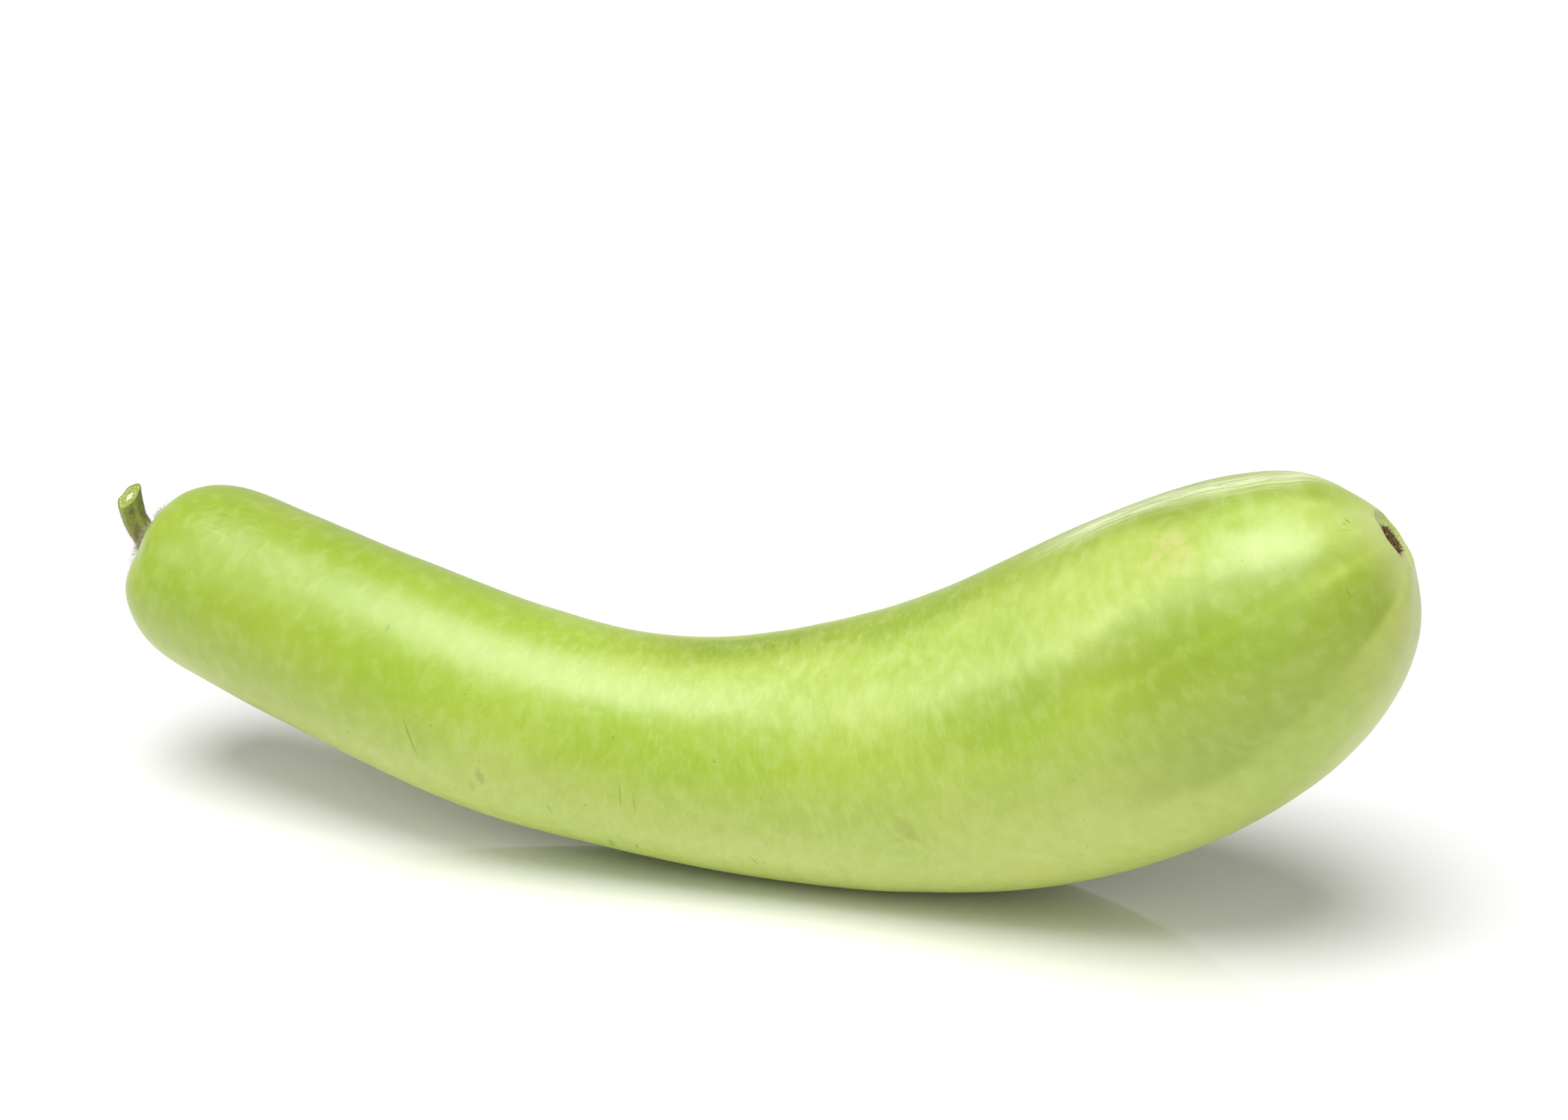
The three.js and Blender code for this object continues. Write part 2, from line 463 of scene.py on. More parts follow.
@dataclass(frozen=True)
class Finish:
    """What every finish has: the material's name and how its surface throws light."""

    name: str
    roughness: float
    ior: float

    def start(
        self, *names: str, **even: object
    ) -> tuple[bpy.types.Material, bpy.types.NodeTree, bpy.types.Node, Sockets]:
        """Makes the material with its one shader.

        Args:
            names: the values on the mesh's points that the material reads.
            even: shader values that are the same all over, with _ for each space.

        Returns:
            The material, its node tree, the shader and a socket for each name.
        """
        material = bpy.data.materials.new(self.name)
        material.use_nodes = True
        tree = material.node_tree
        tree.nodes.clear()
        values = {name.replace("_", " "): value for name, value in even.items()}
        values |= {"Roughness": self.roughness, "IOR": self.ior}
        surface = add(tree, "BsdfPrincipled", values)
        add(tree, "OutputMaterial", {"Surface": surface})
        read = {
            name: add(tree, "Attribute", out=PLACES.get(name, "Fac"), attribute_name=name)
            for name in names
        }
        return material, tree, surface.node, read

    @staticmethod
    def pattern(
        source: Socket, sizes: Triple, detail: float | None = None, seed: float = 0.0
    ) -> Socket:
        """A random pattern with features of real size.

        Args:
            source: the place that it is laid out by.
            sizes: how long a feature is along, across and up, in mm.
            detail: how many finer steps the noise has; None gives the distance to
                scattered points instead of noise.
            seed: picks one pattern out of many.

        Returns:
            The pattern's value.
        """
        tree = source.id_data
        spread = {"Scale": tuple(per(s) for s in sizes), "Location": (seed, seed, seed)}
        place = {"Vector": add(tree, "Mapping", {"Vector": source} | spread), "Scale": 1.0}
        if detail is None:
            return add(tree, "TexVoronoi", place)
        return add(tree, "TexNoise", place | {"Detail": detail}, "Fac")

    @staticmethod
    def product(*parts: tuple) -> Socket:
        """Multiplies values.

        Args:
            parts: each a value alone, or a value with the limits of a soft step, which is
                0 at the first and 1, or the number after the limits, at the second.

        Returns:
            The product.
        """
        total = None
        for value, *limits in parts:
            if limits:
                low, high, top = (*limits, 1.0)[:3]
                step = {"Value": value, "From Min": low, "From Max": high, "To Max": top}
                value = add(
                    value.id_data, "MapRange", step, interpolation_type="SMOOTHSTEP"
                )
            if total is not None:
                value = add(total.id_data, "Math", {0: total, 1: value}, operation="MULTIPLY")
            total = value
        return total

    @staticmethod
    def total(*parts: tuple[Socket, float], start: float = 0.0) -> Socket:
        """Adds up values, each times its weight, from a starting number."""
        for value, weight in parts:
            sums = {0: value, 1: weight, 2: start}
            start = add(value.id_data, "Math", sums, operation="MULTIPLY_ADD")
        return start

    def lay(self, tree: bpy.types.NodeTree, ground: str, *layers: tuple) -> Socket:
        """Lays colours over a ground, one after the other.

        Args:
            tree: the material's nodes.
            ground: the colour under all the layers.
            layers: each a colour and the parts whose product is how much of it shows.

        Returns:
            The finished colour.
        """
        colour = linear(ground)
        for over, *parts in layers:
            mix = {0: self.product(*parts), 6: colour, 7: linear(over)}
            colour = add(tree, "Mix", mix, 2, data_type="RGBA")
        return colour

    @staticmethod
    def dress(
        shader: bpy.types.Node, colour: Socket, height: Socket | None, depth: float
    ) -> None:
        """Gives the shader its colour and, where there is one, its relief."""
        tree = shader.id_data
        tree.links.new(colour, shader.inputs["Base Color"])
        if height is not None:
            relief = {"Height": height, "Distance": depth, "Strength": 1.0}
            tree.links.new(add(tree, "Bump", relief), shader.inputs["Normal"])


@dataclass(frozen=True)
class Mark:
    """A small blemish on the skin, placed by its share of the length and its turn.

    Reach and width are its half sizes in mm, tilt turns it from the axis towards the girth
    in degrees, and strength is how much of its colour covers the skin.
    """

    share: float
    turn: float
    reach: float
    width: float
    tilt: float
    colour: str
    strength: float = 0.7


RUST = "#a2992a"
BRUISE = "#6f8f2b"
SCRATCH = "#7b962f"
TAN = "#958c34"

MARKS = (
    Mark(0.405, 103, 0.5, 0.4, 0, RUST, 0.8),
    Mark(0.674, 50, 0.5, 0.35, 20, RUST, 0.6),
    Mark(0.62, 103, 1.6, 0.3, 5, RUST, 0.5),
    Mark(0.983, 47, 1.1, 0.16, 14, RUST, 0.55),
    Mark(0.974, 56, 0.9, 0.14, 8, RUST, 0.5),
    Mark(0.986, 38, 0.9, 0.25, 80, BRUISE, 0.6),
    Mark(0.984, 41, 0.5, 0.22, 80, RUST, 0.8),
    Mark(0.284, 93, 7.5, 0.28, 62, SCRATCH, 0.75),
    Mark(0.335, 103, 3.2, 1.3, 70, SCRATCH, 0.45),
    Mark(0.330, 112, 2.6, 0.9, 80, SCRATCH, 0.3),
    Mark(0.428, 92, 4.5, 0.22, 84, SCRATCH, 0.7),
    Mark(0.438, 96, 3.6, 0.2, 80, SCRATCH, 0.6),
    Mark(0.382, 112, 3.0, 0.28, 70, SCRATCH, 0.6),
    Mark(0.421, 131, 3.2, 0.9, 85, BRUISE, 0.5),
    Mark(0.438, 128, 1.5, 0.5, 88, BRUISE, 0.6),
    Mark(0.446, 142, 2.2, 1.4, 60, TAN, 0.7),
    Mark(0.515, 122, 2.6, 0.3, 60, SCRATCH, 0.6),
    Mark(0.627, 98, 5.5, 3.0, 50, TAN, 0.28),
    Mark(0.245, 42, 1.6, 0.5, 85, BRUISE, 0.6),
    Mark(0.20, 255, 4.0, 0.4, 60, SCRATCH, 0.6),
    Mark(0.48, 230, 5.0, 0.3, 75, SCRATCH, 0.6),
    Mark(0.70, 265, 4.0, 1.8, 20, TAN, 0.4),
    Mark(0.83, 300, 1.2, 0.6, 40, RUST, 0.6),
)


@dataclass(frozen=True, kw_only=True)
class WaxyGourdSkin(Finish):
    """Living gourd skin: thin wax over green flesh.

    The wax gives a broad soft gloss; light that enters the flesh comes out again and softens
    the shading. The colour is never even: clouds, lengthwise bands, fine streaks round the
    girth, pale flecks, dark-green dots and a few brown marks where it was rubbed. Light and
    shade are painted in as well: a paler band where the highlight lies, a paler underside for
    the light thrown up from the white table, and a darker neck for the shade that falls on it.
    """

    form: GourdForm
    name: str = "gourd_skin_waxy"
    roughness: float = 0.4
    ior: float = 1.48
    green: str = "#9cb830"
    yellow: str = "#acc044"
    # Pale yellow-green: painted bounce light on the underside, and the skin's own paler colour
    # round the stem.
    ground: str = "#bcc862"
    deep: str = "#889f1c"
    pale: str = "#cbdc8d"
    end: str = "#c6d088"
    fibre: str = "#e6ecc6"
    stroke: str = "#64852a"
    scab: str = "#a58a4a"
    blush: str = "#d6bf86"
    mark_depth: float = 2 * MM

    def build(self) -> bpy.types.Material:
        """Makes the material."""
        values = "band ground middle ridge blush bleached scuff blossom_end stem_end rub"
        material, tree, shader, read = self.start(
            *values.split(),
            "straight",
            "ridge_at",
            Subsurface_Weight=0.25,
            Subsurface_Radius=(1.0, 0.9, 0.35),
            Subsurface_Scale=3 * MM,
            Coat_Weight=0.3,
            Coat_Roughness=0.3,
            Coat_IOR=1.45,
        )
        straight, ridge_at = read["straight"], read["ridge_at"]

        # The place, wandering by a few millimetres, so that no pattern runs quite straight.
        drift = self.pattern(straight, (28, 28, 28), 2.0, 5.0).node.outputs["Color"]
        drift = add(tree, "VectorMath", {0: drift, 1: (0.5, 0.5, 0.5)}, operation="SUBTRACT")
        drift = add(tree, "VectorMath", {0: drift, "Scale": 9 * MM}, operation="SCALE")
        drifted = add(tree, "VectorMath", {0: straight, 1: drift}, operation="ADD")

        clouds = self.pattern(straight, (50, 40, 40), 3, 1.0)
        blots = self.pattern(drifted, (3.6, 5, 5), 6, 4.0)
        rings = self.pattern(drifted, (1.4, 3.2, 3.2), 5, 9.0)
        fine_rings = self.pattern(drifted, (0.5, 2.2, 2.2), 3, 15.0)
        pores = self.pattern(straight, (0.5, 0.5, 0.5), 2, 33.0)
        patches = self.pattern(straight, (22, 22, 22), 2, 37.0)
        rubbed = self.pattern(straight, (3.5, 0.5, 0.9), 4, 51.0)
        scuff = self.product((read["scuff"],), (rubbed, 0.5, 0.68))

        # Pale flecks, about 0.6 mm, where the clouds are green.
        cells = self.pattern(straight, (1.7, 2.4, 2.4), seed=2.0)
        cells = self.total((cells, 1.0), (pores, 0.3))
        layers = [
            (self.yellow, (clouds, 0.36, 0.64)),
            # Painted bounce light: the paler ground colour over the underside stands in for light
            # thrown up from the white table.
            (self.ground, (read["ground"],)),
            # Deep green over the lengthwise bands, and painted shade over the neck.
            (self.deep, (read["band"],)),
            (self.pale, (blots, 0.46, 0.7, 0.15)),
            (self.deep, (blots, 0.52, 0.3, 0.13)),
            (self.pale, (rings, 0.46, 0.72, 0.17), (read["middle"],)),
            (self.deep, (fine_rings, 0.5, 0.28, 0.12), (read["middle"],)),
            (self.pale, (cells, 0.36, 0.2, 0.13), (patches, 0.4, 0.6)),
        ]
        # Dark-green dots of 0.3 to 0.7 mm and thin strokes round the girth, in loose groups.
        for sizes, reach, seed, strength in (
            ((2.4, 2.4, 2.4), 0.11, 3.0, 0.42),
            ((5.0, 5.0, 5.0), 0.08, 6.0, 0.58),
            ((4.0, 40.0, 40.0), 0.045, 8.0, 0.5),
        ):
            near = self.pattern(drifted, sizes, seed=seed)
            ragged = self.total((near, 1.0), (pores, reach))
            group = self.pattern(straight, (16, 16, 16), 1, seed + 40)
            dot = (ragged, reach * 1.45, reach * 0.9, strength)
            layers.append((self.stroke, dot, (group, 0.45, 0.6)))
        layers += [
            # Painted sheen: a paler band along the upper belly, where the broad highlight lies.
            (self.pale, (read["bleached"],), (blots, -0.3, 1.1, 0.44)),
            (self.blush, (read["blush"],), (blots, 0.35, 0.65, 0.5)),
            (self.stroke, (scuff,), (0.36,)),
            (self.end, (read["blossom_end"],), (0.75,)),
            (self.ground, (read["stem_end"],), (0.5,)),
        ]
        layers += [(mark.colour, (self._cover(tree, straight, mark),)) for mark in MARKS]

        # The ridges: pale raised fibres, a millimetre apart, with a few rusty specks.
        fibre = {"Value": self.pattern(ridge_at, (20, 0.9, 1), 3, 21.0)}
        fibre |= {"From Min": 0.38, "From Max": 0.6, "To Min": 0.4, "To Max": 0.95}
        fibre = add(tree, "MapRange", fibre, interpolation_type="SMOOTHSTEP")
        fibre = self.product((fibre,), (read["ridge"],))
        rust = self.pattern(ridge_at, (5, 0.8, 1), 2, 71.0)
        layers += [
            (self.fibre, (fibre,), (0.85,)),
            (self.scab, (rust, 0.6, 0.7, 0.7), (fibre,)),
            (self.scab, (read["rub"],), (blots, 0.3, 0.6), (0.8,)),
        ]
        height = self.total(
            (rings, 0.03),
            (fine_rings, 0.022),
            (pores, 0.016),
            (blots, 0.05),
            (scuff, -0.02),
            (fibre, 0.22),
        )
        self.dress(shader, self.lay(tree, self.green, *layers), height, MM)
        rough = self.total((blots, 0.1), (fibre, 0.15), start=self.roughness - 0.05)
        tree.links.new(rough, shader.inputs["Roughness"])
        return material

    def _cover(self, tree: bpy.types.NodeTree, straight: Socket, mark: Mark) -> Socket:
        """How much of its colour a mark lays on the skin.

        Args:
            tree: the material's nodes.
            straight: the place on the straightened fruit.
            mark: the blemish.

        Returns:
            The share, from 0 to the mark's strength.
        """
        along = mark.share * self.form.length
        radius = float(self.form.girth(np.array(along)))
        turn, tilt = math.radians(mark.turn), math.radians(mark.tilt)
        round_it = Vector((0, math.cos(turn), -math.sin(turn)))
        out = Vector((0, math.sin(turn), math.cos(turn)))
        axis = Vector((math.cos(tilt), 0, 0)) + round_it * math.sin(tilt)
        turned = Matrix((axis, out.cross(axis), out)).transposed().to_euler()
        sizes = (mark.reach * MM, mark.width * MM, self.mark_depth)
        place = add(
            tree,
            "Mapping",
            {
                "Vector": straight,
                "Location": (along, *(out.yz * radius)),
                "Rotation": turned,
                "Scale": sizes,
            },
            vector_type="TEXTURE",
        )
        gap = add(tree, "VectorMath", {0: place}, "Value", operation="LENGTH")
        wobble = add(tree, "TexNoise", {"Vector": place, "Scale": 1.6, "Detail": 2.0}, "Fac")
        gap = add(tree, "Math", {0: gap, 1: wobble}, operation="ADD")
        limits = {"Value": gap, "From Min": 1.5, "From Max": 0.9, "To Max": mark.strength}
        return add(tree, "MapRange", limits, interpolation_type="SMOOTHSTEP")


@dataclass(frozen=True)
class FreshStalk(Finish):
    """Green stalk tissue under a fine down: dull, ribbed, browner and rougher at its foot."""

    name: str = "gourd_stalk_green"
    roughness: float = 0.62
    ior: float = 1.42
    green: str = "#8a9634"
    light: str = "#a8b150"
    dark: str = "#666c2c"
    brown: str = "#6f5a39"
    fleck: str = "#b5a878"
    sheen: str = "#e8e2c0"

    def build(self) -> bpy.types.Material:
        """Makes the material."""
        material, tree, shader, read = self.start(
            "straight",
            "rise",
            "rib",
            Sheen_Weight=0.25,
            Sheen_Roughness=0.5,
            Sheen_Tint=linear(self.sheen),
        )
        grain = self.pattern(read["straight"], (4.5, 0.35, 0.35), 3)
        patch = self.pattern(read["straight"], (2.5, 1.8, 1.8), 3)
        speck = self.pattern(read["straight"], (0.4, 0.3, 0.3), 2)
        colour = self.lay(
            tree,
            self.dark,
            (self.green, (patch, 0.35, 0.6)),
            (self.light, (read["rib"], 0.1, 0.9, 0.6)),
            (self.dark, (grain, 0.48, 0.3, 0.5)),
            (self.brown, (read["rise"], 0.55, 0.1, 0.9)),
            (self.brown, (speck, 0.62, 0.72, 0.6)),
            (self.fleck, (speck, 0.36, 0.28, 0.5)),
        )
        self.dress(shader, colour, self.total((grain, 1.0), (speck, 1.0)), 0.12 * MM)
        return material


@dataclass(frozen=True)
class CutPith(Finish):
    """The freshly cut end: wet green flesh, a pale pith and a ring of paler sap vessels."""

    name: str = "gourd_stalk_cut_flesh"
    roughness: float = 0.3
    ior: float = 1.4
    flesh: str = "#90a444"
    pith: str = "#dfe9c0"
    vessel: str = "#c3d08c"
    rim: str = "#83703c"

    def build(self) -> bpy.types.Material:
        """Makes the material."""
        material, tree, shader, read = self.start(
            "straight",
            "vessel",
            "pith",
            "rim",
            Subsurface_Weight=0.3,
            Subsurface_Radius=(1.0, 1.0, 0.5),
            Subsurface_Scale=0.8 * MM,
        )
        grain = self.pattern(read["straight"], (0.35, 0.35, 0.35), 3)
        colour = self.lay(
            tree,
            self.flesh,
            (self.vessel, (read["vessel"],)),
            (self.pith, (read["pith"],)),
            (self.rim, (read["rim"],)),
        )
        shade = add(tree, "MapRange", {"Value": grain, "To Min": 0.82, "To Max": 1.15})
        colour = add(tree, "HueSaturation", {"Color": colour, "Value": shade})
        self.dress(shader, colour, grain, 0.08 * MM)
        return material


@dataclass(frozen=True)
class PlantDown(Finish):
    """Dry plant hair: pale straw, thin enough to glow at its edges."""

    name: str = "gourd_plant_down"
    roughness: float = 0.55
    ior: float = 1.5
    root: str = "#a8997a"
    tip: str = "#e4dcc6"

    def build(self) -> bpy.types.Material:
        """Makes the material."""
        material, tree, shader, read = self.start(
            "tip", "shade", Sheen_Weight=0.3, Sheen_Roughness=0.4
        )
        colour = self.lay(tree, self.root, (self.tip, (read["tip"],)))
        shade = add(tree, "MapRange", {"Value": read["shade"], "To Min": 0.4, "To Max": 1.1})
        colour = add(tree, "HueSaturation", {"Color": colour, "Value": shade})
        self.dress(shader, colour, None, 0.0)
        return material


@dataclass(frozen=True)
class DryBlossom(Finish):
    """Withered petals and their scab: papery, brown from straw to almost black, quite dull."""

    name: str = "gourd_blossom_withered"
    roughness: float = 0.85
    ior: float = 1.45
    dark: str = "#4c3a26"
    brown: str = "#8a6e44"
    straw: str = "#c8ad78"

    def build(self) -> bpy.types.Material:
        """Makes the material."""
        material, tree, shader, read = self.start("shade")
        grain = self.pattern(add(tree, "TexCoord", out="Object"), (0.5, 0.5, 0.5), 3)
        dry = self.product((read["shade"],), (grain,))
        colour = self.lay(
            tree, self.dark, (self.brown, (read["shade"],)), (self.straw, (dry, 0.3, 0.55, 0.9))
        )
        self.dress(shader, colour, grain, 0.2 * MM)
        return material


@dataclass(frozen=True)
class WhiteGlass(Finish):
    """White enamelled lead glass: even and pale, with a soft mirror image at low angles."""

    name: str = "table_white_glass"
    roughness: float = 0.07
    ior: float = 2.5
    white: str = "#fafafa"

    def build(self) -> bpy.types.Material:
        """Makes the material."""
        return self.start(Base_Color=linear(self.white))[0]


# ---------------------------------------------------------------- the pieces


@dataclass
class Fruit:
    """The fruit: its skin, with soft lobes, lumps, the two ends and the fibrous ridges."""

    form: GourdForm
    rings: int = 371
    sides: int = 256
    end_run: float = 14 * MM
    end_gain: float = 1.4
    rest_ease: float = 0.45 * MM
    dents: tuple[tuple[float, float, float, float], ...] = (
        (0.019, 68.0, 5.5, -1.4),
        (0.034, 90.0, 8.0, 0.8),
        (0.022, 200.0, 8.0, -0.5),
        (0.3, 300.0, 16.0, -0.5),
        (0.9, 210.0, 14.0, -0.6),
        (0.965, 338.0, 8.0, 0.6),
    )
    lumps: tuple[tuple[Triple, int, float], ...] = (
        ((38.0, 38.0, 38.0), 11, 0.45),
        ((17.0, 17.0, 17.0), 12, 0.16),
        ((7.0, 7.0, 7.0), 13, 0.045),
        ((3.2, 30.0, 30.0), 14, 0.02),
    )
    ridge_routes: tuple[tuple[tuple[float, float], ...], ...] = (
        ((0.5, 6.0), (0.7, 5.0), (0.84, 1.0), (0.9, 2.0), (0.94, 0.0), (0.965, -6.0), (1.0, -30.0)),
        ((0.5, 182.0), (0.7, 178.0), (0.9, 176.0), (1.0, 190.0)),
    )
    ridge_width: float = 5.6 * MM
    blush_spot: Triple = (0.887, 32.0, 6.0)
    scuff_spot: Triple = (0.085, 16.0, 9.0)
    bands: tuple[tuple[float, float, float, float], ...] = (
        (0.74, 94.0, 21.0, 4.0),
        (0.62, 62.0, 9.0, 5.0),
        (0.35, 3.0, 14.0, 9.0),
        (0.5, 232.0, 16.0, 9.0),
        (0.66, 282.0, 18.0, 8.0),
    )

    def _stations(self) -> np.ndarray:
        """Distances along the axis, evenly spread over the skin and closer at both ends."""
        fine = self.form.length * 0.5 * (1 - np.cos(np.linspace(0, math.pi, 4001)))
        radius = self.form.girth(fine)
        radius[0] = radius[-1] = 0
        step = np.hypot(np.diff(fine), np.diff(radius))
        run = np.concatenate(([0], np.cumsum(step)))
        middle = (run[1:] + run[:-1]) / 2
        ends = np.exp(-middle / self.end_run) + np.exp(-(run[-1] - middle) / self.end_run)
        count = np.concatenate(([0], np.cumsum(step * (1 + self.end_gain * ends))))
        return np.interp(np.linspace(0, count[-1], self.rings), count, fine)

    def _relief(self, straight: np.ndarray, angle: np.ndarray, radius: np.ndarray) -> np.ndarray:
        """How far the skin stands out from the smooth form."""
        along = straight[..., 0]
        share = along / self.form.length
        swell = smoothstep(share, 0.3, 0.75)
        body = smoothstep(radius, 3 * MM, 16 * MM)
        lobes = np.cos(5 * angle + 0.6) * 0.22 + np.cos(8 * angle - 1.1 + 2 * share) * 0.16
        relief = lobes * (0.35 + 0.65 * swell)
        for sizes, seed, height in self.lumps:
            relief += soft_noise(straight, tuple(size * MM for size in sizes), seed) * height
        relief *= body
        at_stem = 2 * along < self.form.length
        pucker = np.cos(9 * angle + 0.4) * 0.22 + np.cos(5 * angle) * 0.15
        relief += np.where(at_stem, pucker * bump(radius, 7.5 * MM, 3 * MM), 0)
        crease = np.cos(7 * angle + 0.9) * 0.13 + np.cos(3 * angle) * 0.12
        narrower = self.form.blossom_dimple.at(radius) / MM - 1.5 * bump(radius, 0, 4.3 * MM)
        lip = 0.15 * bump(radius, 7.5 * MM, 3.6 * MM) + 0.6 * crease * bump(radius, 7 * MM, 4 * MM)
        relief += np.where(at_stem, 0, narrower + lip)
        for place, turn, size, depth in self.dents:
            relief += depth * self._spot(straight, angle, radius, (place, turn, size))
        ridge = self._ridge(straight, angle, radius)[0]
        return (relief + 0.35 * ridge) * MM

    def _spot(
        self, straight: np.ndarray, angle: np.ndarray, radius: np.ndarray, place: Triple
    ) -> np.ndarray:
        """A round patch of the skin, by its share of the length, its turn and its size in mm."""
        share, turn, size = place
        down = straight[..., 0] - share * self.form.length
        round_it = np.radians(turn_gap(angle, turn)) * radius
        return np.exp(-(down**2 + round_it**2) / (size * MM) ** 2)

    def _ridge(
        self, straight: np.ndarray, angle: np.ndarray, radius: np.ndarray
    ) -> tuple[np.ndarray, np.ndarray]:
        """Where the skin is drawn into a fibrous ridge.

        Returns:
            How strong the ridge is, from 0 to 1, and each point's distance aside from it.
        """
        share = straight[..., 0] / self.form.length
        strength, aside = np.zeros_like(share), np.full_like(share, 1.0)
        for route, start in zip(self.ridge_routes, (0.74, 0.56)):
            marks = np.array(route)
            turn = np.interp(share, marks[:, 0], marks[:, 1])
            gap = np.radians((np.degrees(angle) - turn + 180) % 360 - 180) * radius
            wander = soft_noise(straight * (1, 0, 0), 22 * MM, 31) * 1.0 * MM
            gap = gap + wander
            run = smoothstep(share, start, start + 0.1) * (1 - smoothstep(share, 0.965, 0.995))
            strength = np.maximum(strength, run * bump(gap, 0, self.ridge_width) ** 1.5)
            aside = np.where(np.abs(gap) < np.abs(aside), gap, aside)
        return strength, aside

    def _values(
        self, straight: np.ndarray, angle: np.ndarray, radius: np.ndarray
    ) -> dict[str, np.ndarray]:
        """The numbers that the skin's colours are laid out by."""
        share = straight[..., 0] / self.form.length
        at_stem = share < 0.5
        ridge, aside = self._ridge(straight, angle, radius)
        patchy = 0.75 + 0.45 * soft_noise(straight, (45 * MM, 14 * MM, 14 * MM), 41)
        bands = np.zeros_like(share)
        for start, turn, width, edge in self.bands:
            gap = np.abs(turn_gap(angle, turn)) + 5 * soft_noise(straight, 20 * MM, 42)
            band = 1 - smoothstep(gap, width - edge, width + edge)
            bands = np.maximum(bands, band * smoothstep(share, start, start + 0.16))
        # Painted shade: the neck is darkened towards the deep green, fading out by a third of the
        # length, in place of shade falling on it.
        neck = 0.4 * (1 - smoothstep(share, 0.12, 0.36))
        # Painted bounce light: the underside is made paler, more so towards the bottom, in place of
        # light from the white table.
        under = smoothstep(np.abs(turn_gap(angle, 0)), 55, 125)
        # Painted sheen: paler colour in a band 40 degrees round from the top, on the belly, where
        # the highlight of the overhead light falls.
        bleached = 1 - smoothstep(np.abs(turn_gap(angle, 40)), 10, 34)
        middle = smoothstep(share, 0.2, 0.4) * (1 - smoothstep(share, 0.62, 0.85))
        aside_at = np.stack((straight[..., 0], aside, np.zeros_like(aside)), -1)
        return {
            "band": np.clip(bands * patchy + neck, 0, 1) * smoothstep(radius, 6 * MM, 26 * MM),
            "ground": np.clip(under * patchy, 0, 1),
            "middle": 0.25 + 0.75 * middle,
            "ridge": ridge,
            "ridge_at": aside_at,
            "blush": self._spot(straight, angle, radius, self.blush_spot),
            "bleached": bleached * smoothstep(share, 0.4, 0.56),
            "scuff": self._spot(straight, angle, radius, self.scuff_spot),
            "blossom_end": np.where(at_stem, 0, 1 - smoothstep(radius, 5 * MM, 22 * MM)),
            "stem_end": np.where(at_stem, 1 - smoothstep(radius, 5 * MM, 14 * MM), 0),
            "rub": np.where(
                at_stem,
                0.8 * (1 - smoothstep(radius, 5.5 * MM, 9 * MM)),
                1 - smoothstep(radius, 3.4 * MM, 5.2 * MM),
            ),
        }

    def build(self) -> bpy.types.Object:
        """Makes the skin.

        Returns:
            The piece, riding on the body in place of the CAD fruit.
        """
        stations = self._stations()
        turns = np.arange(self.sides) * 2 * math.pi / self.sides
        along, angle = np.meshgrid(stations, turns, indexing="ij")
        points, straight = self.form.surface(along, angle)
        radius = np.hypot(straight[..., 1], straight[..., 2])
        down = np.gradient(points, axis=0)
        across = np.roll(points, -1, 1) - np.roll(points, 1, 1)
        normal = unit(np.cross(down, across))
        seats = self.form.stem_seat(), self.form.blossom_seat()
        normal[0], normal[-1] = seats[0].out, seats[1].out
        outward = points - self.form.frame_at(along)[0]
        normal[1:-1] *= np.sign((normal[1:-1] * outward[1:-1]).sum(-1, keepdims=True))
        points = points + normal * self._relief(straight, angle, radius)[..., None]
        height = points[..., 2]
        points[..., 2] = 0.5 * (height + np.sqrt(height**2 + self.rest_ease**2))
        piece = self._mesh(points, straight, self._values(straight, angle, radius))
        piece.data.materials.append(WaxyGourdSkin(form=self.form).build())
        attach(piece, Body.ROOT.value)
        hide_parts("fruit")
        return piece

    def _mesh(
        self, points: np.ndarray, straight: np.ndarray, values: dict[str, np.ndarray]
    ) -> bpy.types.Object:
        """Joins the rings into one closed skin, with a single point at each end."""
        sides = self.sides

        def flat(grid: np.ndarray) -> np.ndarray:
            """The grid's rows as one list, with one point for each end."""
            body = grid[1:-1].reshape((-1,) + grid.shape[2:])
            return np.concatenate((grid[:1, 0], body, grid[-1:, 0]))

        last = (self.rings - 2) * sides + 1
        faces = [tuple(n + 1 for n in f) for f in ring_faces(self.rings - 2, sides)]
        faces += [(0, 1 + (j + 1) % sides, 1 + j) for j in range(sides)]
        base = last - sides
        faces += [(last, base + j, base + (j + 1) % sides) for j in range(sides)]
        data = {"straight": flat(straight)} | {k: flat(v) for k, v in values.items()}
        return make_mesh("fruit_skin", flat(points), faces, data)


